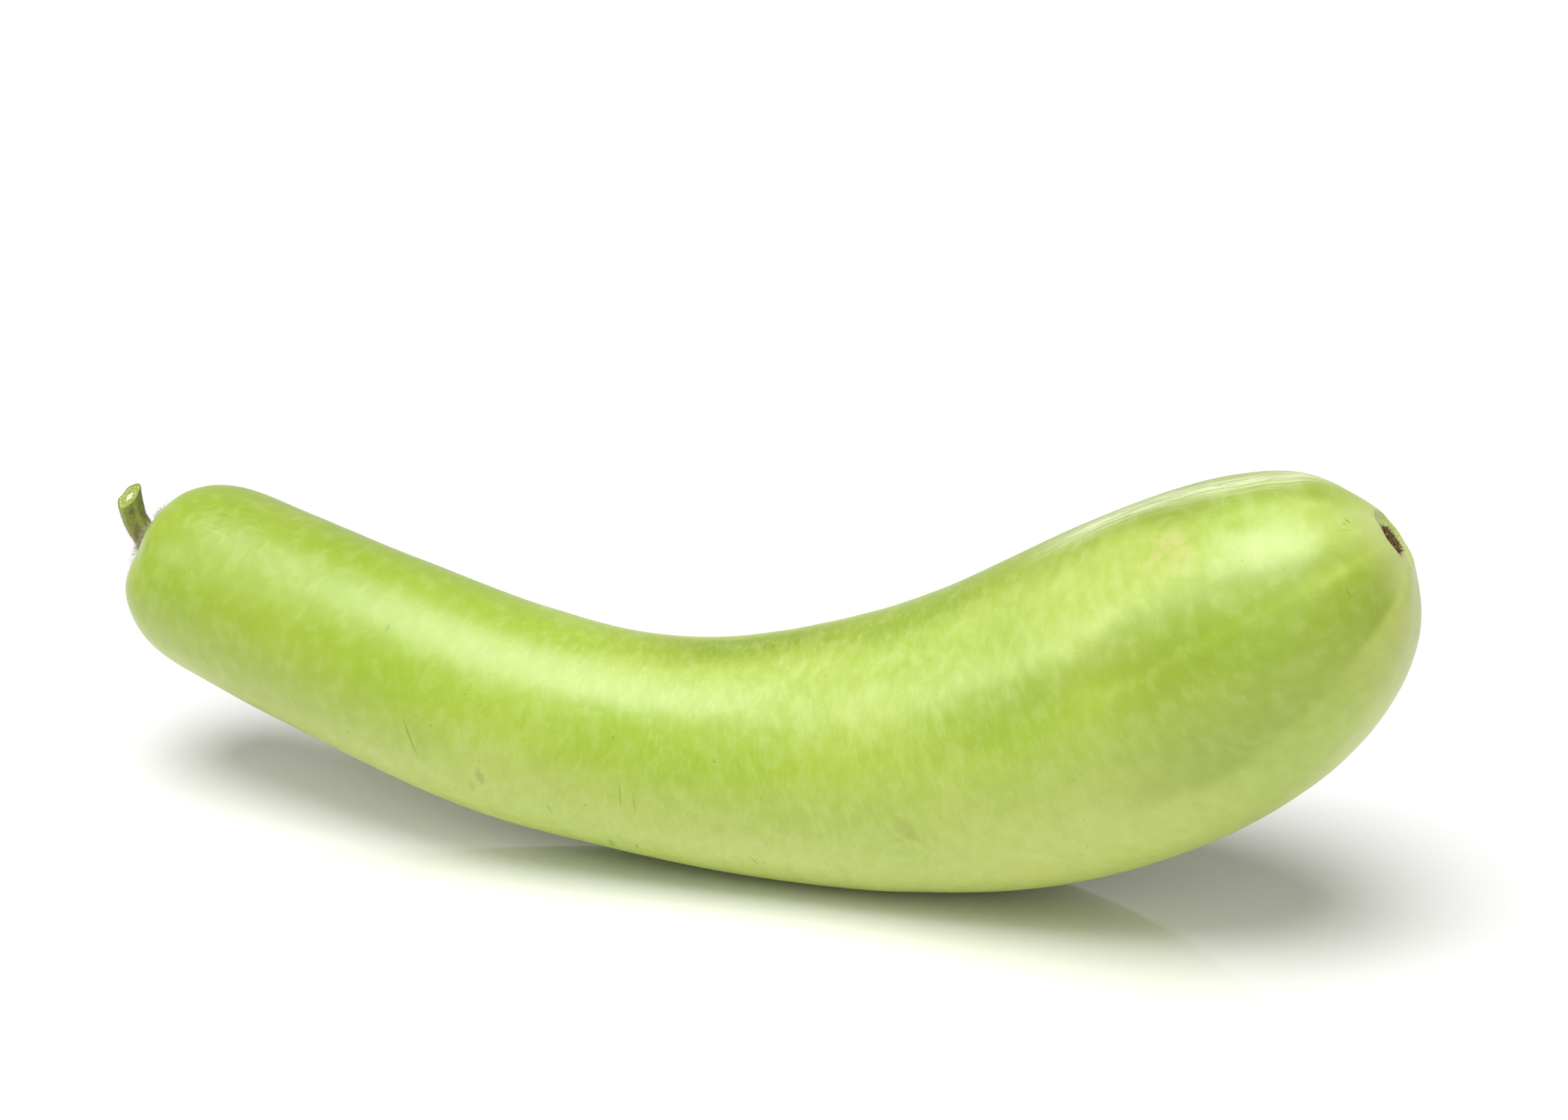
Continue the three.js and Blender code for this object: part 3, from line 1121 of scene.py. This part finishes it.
@dataclass
class Stem:
    """The cut stem: five soft ribs, a wide foot and a slanted cut that shows its pith."""

    seat: Seat
    radius: float = 3.1 * MM
    foot_radius: float = 4.4 * MM
    foot_run: float = 4 * MM
    rib_height: float = 0.3 * MM
    ribs: int = 5
    run: float = 7.1 * MM
    rise: float = 10.6 * MM
    sunk: float = 2.5 * MM
    cut_faces: Triple = (-0.5, -0.4, 0.77)
    rings: int = 110
    sides: int = 100
    cap_rings: int = 30
    route: tuple[tuple[float, float], ...] = (
        (0.17, 0.0),
        (0.58, 0.25),
        (0.83, 0.48),
        (0.94, 0.75),
        (1.0, 1.0),
        (1.03, 1.5),
    )

    def _axis(self, count: int = 800) -> tuple[np.ndarray, np.ndarray]:
        """The stem's middle line and the distance along it, past the cut."""
        marks = [(-self.sunk, 0.0)] + [(o * self.run, u * self.rise) for o, u in self.route]
        marks = np.array(marks)
        knots = np.concatenate(([0], np.cumsum(np.linalg.norm(np.diff(marks, axis=0), axis=1))))
        slope = np.gradient(marks, knots, axis=0)
        t = np.linspace(0, knots[-1], count)
        i = np.clip(np.searchsorted(knots, t, side="right") - 1, 0, len(knots) - 2)
        gap = (knots[i + 1] - knots[i])[:, None]
        s = (t - knots[i])[:, None] / gap
        flat = (
            (2 * s**3 - 3 * s**2 + 1) * marks[i]
            + (s**3 - 2 * s**2 + s) * gap * slope[i]
            + (3 * s**2 - 2 * s**3) * marks[i + 1]
            + (s**3 - s**2) * gap * slope[i + 1]
        )
        place = self.seat.place + flat[:, :1] * self.seat.out + flat[:, 1:] * UP
        step = np.linalg.norm(np.diff(place, axis=0), axis=1)
        return place, np.concatenate(([0], np.cumsum(step)))

    def build(self) -> bpy.types.Object:
        """Makes the stem.

        Returns:
            The piece, riding on the body in place of the CAD stem.
        """
        place, run = self._axis()
        tangent = unit(np.gradient(place, run, axis=0))
        reference = unit(np.cross(self.seat.out, UP))
        side = unit(np.cross(tangent, reference))
        top = np.cross(side, tangent)
        turns = np.arange(self.sides) * 2 * math.pi / self.sides
        distance, angle = np.meshgrid(run, turns, indexing="ij")
        foot = 1 - smoothstep(distance, 0, self.sunk + self.foot_run)
        rib = np.cos(self.ribs * angle + 40 * distance)
        radius = self.radius + (self.foot_radius - self.radius) * foot
        radius = radius + self.rib_height * (0.5 + 0.5 * rib) * (1 + foot)
        straight = np.stack((distance, radius * np.cos(angle), radius * np.sin(angle)), -1)
        radius = radius + soft_noise(straight, 2.2 * MM, 61) * 0.12 * MM
        radius = radius + soft_noise(straight, (2 * MM, 0.5 * MM, 0.5 * MM), 62) * 0.05 * MM
        wall = place[:, None] + (
            side[:, None] * np.cos(angle)[..., None] + top[:, None] * np.sin(angle)[..., None]
        ) * radius[..., None]

        # Each line of the wall ends where it meets the slanted cut.
        across = unit(np.array(self.cut_faces))
        tip = self.seat.place + self.run * self.seat.out + self.rise * UP
        ragged = np.cos(3 * turns + 1.0) * 0.12 * MM + np.cos(7 * turns) * 0.06 * MM
        height = (wall - tip) @ across - ragged
        ends = np.empty(self.sides)
        for j in range(self.sides):
            k = int(np.argmax(height[:, j] > 0)) or len(run) - 1
            low, high = height[k - 1, j], height[k, j]
            ends[j] = run[k - 1] + (run[k] - run[k - 1]) * (-low) / (high - low)
        shares = np.linspace(0, 1, self.rings)
        index = shares[:, None] * ends[None]

        def cut(grid: np.ndarray) -> np.ndarray:
            """The grid's values, read again at the rings that end at the cut."""
            lines = [np.interp(index[:, j], run, grid[:, j]) for j in range(self.sides)]
            return np.stack(lines, 1)

        walls = np.stack([cut(wall[..., c]) for c in range(3)], -1)
        rims, radii = cut(rib), cut(radius)
        angles = np.broadcast_to(turns, index.shape)
        flat_wall = np.stack((index, radii * np.cos(angles), radii * np.sin(angles)), -1)

        rim = walls[-1]
        middle = rim.mean(0)
        inward = np.linspace(1, 0, self.cap_rings + 1)[1:-1]
        cap = middle + (rim - middle)[None] * inward[:, None, None]
        inner = inward[:, None] * np.ones(self.sides)[None]
        vessels = self._vessels(inner, np.broadcast_to(turns, inner.shape))
        pith = 1 - smoothstep(inner + 0.05 * np.cos(4 * turns + 1)[None], 0.2, 0.38)
        lift = -0.25 * smoothstep(1 - inner, 0.02, 0.3) + 0.12 * vessels + 0.1 * pith
        lift = lift + soft_noise(cap, 0.4 * MM, 63) * 0.04
        cap = cap + across * (lift * MM)[..., None]
        centre = middle - across * 0.15 * MM

        count = self.rings * self.sides
        points = np.concatenate((walls.reshape(-1, 3), cap.reshape(-1, 3), centre[None]))
        faces = closed_faces(self.rings + len(inward), self.sides)
        pad = np.zeros(count)
        none = np.zeros(len(inward) * self.sides + 1)
        edge = np.repeat((index / run[-1])[-1][None], len(inward), 0)
        values = {
            "straight": np.concatenate(
                (flat_wall.reshape(-1, 3), (cap - middle).reshape(-1, 3), np.zeros((1, 3)))
            ),
            "rise": np.concatenate(((index / run[-1]).ravel(), edge.ravel(), [1.0])),
            "rib": np.concatenate((rims.ravel(), none)),
            "vessel": np.concatenate((pad, vessels.ravel(), [0.0])),
            "pith": np.concatenate((pad, pith.ravel(), [1.0])),
            "rim": np.concatenate(
                (pad + 1, 0.9 * smoothstep(inner, 0.88, 0.99).ravel(), [0.0])
            ),
        }
        piece = make_mesh("stem_cut", points, faces, values)
        piece.data.materials.append(FreshStalk().build())
        piece.data.materials.append(CutPith().build())
        for polygon in piece.data.polygons:
            if min(polygon.vertices) >= count - self.sides and max(polygon.vertices) >= count:
                polygon.material_index = 1
        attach(piece, Body.ROOT.value)
        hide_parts("stem")
        self.wall_points = walls
        self.wall_middles = np.stack(
            [np.interp(shares * ends.mean(), run, c) for c in place.T], -1
        )
        return piece

    @staticmethod
    def _vessels(inner: np.ndarray, angle: np.ndarray) -> np.ndarray:
        """The sap vessels on the cut, as two rings of raised dots, from 0 to 1."""
        rng = np.random.default_rng(64)
        mask = np.zeros_like(inner)
        x, y = inner * np.cos(angle), inner * np.sin(angle)
        for ring, count in ((0.55, 11), (0.76, 17)):
            for k in range(count):
                turn = (k + rng.uniform(-0.2, 0.2)) * 2 * math.pi / count
                reach = ring + rng.uniform(-0.05, 0.05)
                gap = np.hypot(x - reach * math.cos(turn), y - reach * math.sin(turn))
                mask = np.maximum(mask, 1 - smoothstep(gap, 0.03, rng.uniform(0.075, 0.11)))
        return mask


@dataclass
class ShoulderDown:
    """The fine down on the fruit's shoulder round the stem, and on the stem itself."""

    form: GourdForm
    stem: Stem
    shoulder_count: int = 3400
    stem_count: int = 1500
    seed: int = 71
    # Each from the least to the most, in mm.
    shoulder_length: tuple[float, float] = (0.8, 2.4)
    shoulder_radius: tuple[float, float] = (0.02, 0.05)
    stem_length: tuple[float, float] = (0.4, 1.25)
    stem_radius: tuple[float, float] = (0.014, 0.03)
    curl: float = 0.7

    def build(self) -> bpy.types.Object:
        """Makes the down.

        Returns:
            The piece, riding on the body.
        """
        rng = np.random.default_rng(self.seed)
        tries = self.shoulder_count * 3
        reach = (4.2 + 15 * rng.beta(1.0, 2.3, tries)) * MM
        stations = np.linspace(0, 0.1 * self.form.length, 4000)
        along = np.interp(reach, self.form.girth(stations), stations)
        angle = rng.uniform(0, 2 * math.pi, tries)
        roots, straight = self.form.surface(along, angle)
        tufted = soft_noise(straight, 3.2 * MM, 72) + 0.6 * soft_noise(straight, 1.1 * MM, 73)
        keep = np.flatnonzero(tufted > reach / (26 * MM) - 0.35)[: self.shoulder_count]
        count = len(keep)
        roots, reach = roots[keep], reach[keep]
        seat = self.form.stem_seat()
        outward = unit(roots - (seat.place - seat.out * 14 * MM))
        ways = outward + rng.normal(0, 0.6, (count, 3))
        lengths = rng.uniform(*self.shoulder_length, count) * MM * (1.15 - reach / (36 * MM))
        radii = rng.uniform(*self.shoulder_radius, count) * MM

        walls, middles = self.stem.wall_points, self.stem.wall_middles
        picks = self.stem_count
        row = (rng.uniform(0.12, 0.97, picks) ** 1.3 * (len(walls) - 1)).astype(int)
        col = rng.integers(0, walls.shape[1], picks)
        stem_roots = walls[row, col]
        stem_ways = unit(stem_roots - middles[row]) + rng.normal(0, 0.4, (picks, 3))
        stem_lengths = rng.uniform(*self.stem_length, picks) * MM * (1.35 - 0.8 * row / len(walls))
        stem_radii = rng.uniform(*self.stem_radius, picks) * MM

        points, faces, tips = strands(
            np.concatenate((roots, stem_roots)),
            np.concatenate((ways, stem_ways)),
            np.concatenate((lengths, stem_lengths)),
            np.concatenate((radii, stem_radii)),
            self.curl,
            rng,
        )
        each = len(points) // (count + picks)
        shade = np.repeat(rng.uniform(0, 1, count + picks), each)
        piece = make_mesh("shoulder_down", points, faces, {"tip": tips, "shade": shade})
        piece.data.materials.append(PlantDown().build())
        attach(piece, Body.ROOT.value)
        return piece


@dataclass
class BlossomScar:
    """The dry rest of the blossom: a scab in the dimple, with curled fibres on it."""

    seat: Seat
    radius: float = 3.7 * MM
    rings: int = 26
    sides: int = 72
    fibres: int = 620
    seed: int = 81
    # Each from the least to the most, in mm.
    fibre_length: tuple[float, float] = (0.3, 0.95)
    fibre_radius: tuple[float, float] = (0.09, 0.24)
    curl: float = 2.2

    def build(self) -> bpy.types.Object:
        """Makes the withered blossom.

        Returns:
            The piece, riding on the body in place of the CAD blossom.
        """
        rng = np.random.default_rng(self.seed)
        out = self.seat.out
        side = unit(np.cross(out, UP))
        top = np.cross(side, out)
        share = np.linspace(1, 0, self.rings + 1)[:-1]
        turns = np.arange(self.sides) * 2 * math.pi / self.sides
        inner, angle = np.meshgrid(share, turns, indexing="ij")
        edge = 1 + 0.12 * np.cos(3 * angle + 1) + 0.07 * np.cos(7 * angle)
        across = (inner * self.radius * edge)[..., None]
        flat = side * (across * np.cos(angle)[..., None])
        flat = flat + top * (across * np.sin(angle)[..., None])
        height = 1.3 * (1 - inner**3) - 1.2
        crumbs = soft_noise(flat, 0.9 * MM, 82) * 0.5 + soft_noise(flat, 0.4 * MM, 83) * 0.25
        height = (height + crumbs * (1 - inner**6)) * MM
        grid = self.seat.place + flat + out * height[..., None]
        points = np.concatenate((grid.reshape(-1, 3), (self.seat.place + out * 0.3 * MM)[None]))
        faces = closed_faces(self.rings, self.sides)
        shade = np.concatenate((0.3 + 0.3 * crumbs.ravel(), [0.3]))

        count = self.fibres
        pick = np.sqrt(rng.uniform(0, 1, count)) * 0.95
        turn = rng.uniform(0, 2 * math.pi, count)
        lie = side * (pick * np.cos(turn))[:, None] + top * (pick * np.sin(turn))[:, None]
        roots = self.seat.place + lie * self.radius + out * 0.1 * MM
        ways = out * 0.45 + lie * 0.3 + rng.normal(0, 0.9, (count, 3))
        fibre_points, fibre_faces, _ = strands(
            roots,
            ways,
            rng.uniform(*self.fibre_length, count) * MM,
            rng.uniform(*self.fibre_radius, count) * MM,
            self.curl,
            rng,
        )
        each = len(fibre_points) // count
        start = len(points)
        faces += [tuple(n + start for n in f) for f in fibre_faces]
        shade = np.concatenate((shade, np.repeat(rng.uniform(0.05, 1, count), each)))
        piece = make_mesh(
            "blossom_withered", np.concatenate((points, fibre_points)), faces, {"shade": shade}
        )
        piece.data.materials.append(DryBlossom().build())
        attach(piece, Body.ROOT.value)
        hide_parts("dried_blossom")
        return piece


# ---------------------------------------------------------------- the studio


@dataclass
class Studio:
    """A white table under one wide soft light, in an even white room, and the camera."""

    middle: np.ndarray
    elevation: float = 22.385
    distance: float = 795.162 * MM
    aim: Triple = (13.366 * MM, -8.5 * MM, 25.197 * MM)
    lens: float = 75.0
    sensor: float = 36.0
    lights: tuple[tuple[str, Triple, float, float], ...] = (
        ("softbox_overhead", (-0.12, -0.12, 0.985), 42.0, 3.1),
        ("softbox_front", (0.1, -0.76, 0.64), 60.0, 0.75),
        ("softbox_shoulder", (-0.5, -0.3, 0.81), 30.0, 0.2),
        ("softbox_left", (-0.82, -0.14, 0.56), 20.0, 0.45),
    )
    room_strength: float = 0.34
    wall_strength: float = 0.55
    room_share: float = 0.3
    wall_from: tuple[float, float] = (0.6, 0.95)
    table_half: float = 6.0

    def build(self) -> None:
        """Makes the table, the light, the room and the camera."""
        half = self.table_half
        corners = np.array([(-half, -half, 0), (half, -half, 0), (half, half, 0), (-half, half, 0)])
        table = make_mesh("table_top", corners, [(0, 1, 2, 3)])
        table.data.materials.append(WhiteGlass().build())
        table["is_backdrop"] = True

        for name, way, spread, strength in self.lights:
            lamp = bpy.data.lights.new(name, "SUN")
            lamp.energy = strength
            lamp.angle = math.radians(spread)
            light = bpy.data.objects.new(name, lamp)
            light.rotation_euler = Vector(way).to_track_quat("Z", "Y").to_euler()
            light.location = way
            bpy.context.scene.collection.objects.link(light)

        world = bpy.data.worlds.new("white_room")
        world.use_nodes = True
        tree = world.node_tree
        tree.nodes.clear()
        seen = add(tree, "LightPath", out="Is Camera Ray")
        soft = add(tree, "LightPath", out="Is Diffuse Ray")
        way = add(tree, "SeparateXYZ", {0: add(tree, "TexCoord", out="Generated")}, "Y")
        start, end = self.wall_from
        limits = {"Value": way, "From Min": start, "From Max": end}
        limits |= {"To Min": self.room_strength, "To Max": self.wall_strength}
        strength = add(tree, "MapRange", limits, interpolation_type="SMOOTHSTEP")
        share = add(tree, "MapRange", {"Value": soft, "To Min": 1.0, "To Max": self.room_share})
        strength = add(tree, "Math", {0: strength, 1: share}, operation="MULTIPLY")
        room = add(tree, "Background", {"Color": linear("#ffffff"), "Strength": strength})
        white = add(tree, "Background", {"Color": linear("#ffffff"), "Strength": 1.0})
        both = add(tree, "MixShader", {0: seen, 1: room, 2: white})
        add(tree, "OutputWorld", {"Surface": both})
        bpy.context.scene.world = world
        bpy.context.scene.view_settings.view_transform = "Standard"

        data = bpy.data.cameras.new("camera")
        data.lens = self.lens
        data.sensor_width = self.sensor
        camera = bpy.data.objects.new("camera", data)
        rise = math.radians(self.elevation)
        back = Vector((0, -math.cos(rise), math.sin(rise)))
        camera.location = Vector(self.middle + np.array(self.aim)) + back * self.distance
        camera.rotation_euler = back.to_track_quat("Z", "Y").to_euler()
        bpy.context.scene.collection.objects.link(camera)
        bpy.context.scene.camera = camera


def main() -> None:
    """Builds every piece in order, then the studio."""
    logging.basicConfig(level=logging.INFO, format="%(name)s: %(message)s")
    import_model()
    low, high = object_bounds()
    form = GourdForm()
    form.lay_into(*(np.array(corner, float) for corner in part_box("fruit")))
    LOG.info("form laid into the frame, %.1f mm along its middle", form.length / MM)

    stem = Stem(form.stem_seat())
    builders = (Fruit(form), stem, ShoulderDown(form, stem), BlossomScar(form.blossom_seat()))
    for builder in builders:
        piece = builder.build()
        LOG.info("%s: %d faces", piece.name, len(piece.data.polygons))

    Studio((np.array(low) + np.array(high)) / 2).build()
    bpy.context.view_layer.update()


if __name__ == "__main__":
    main()
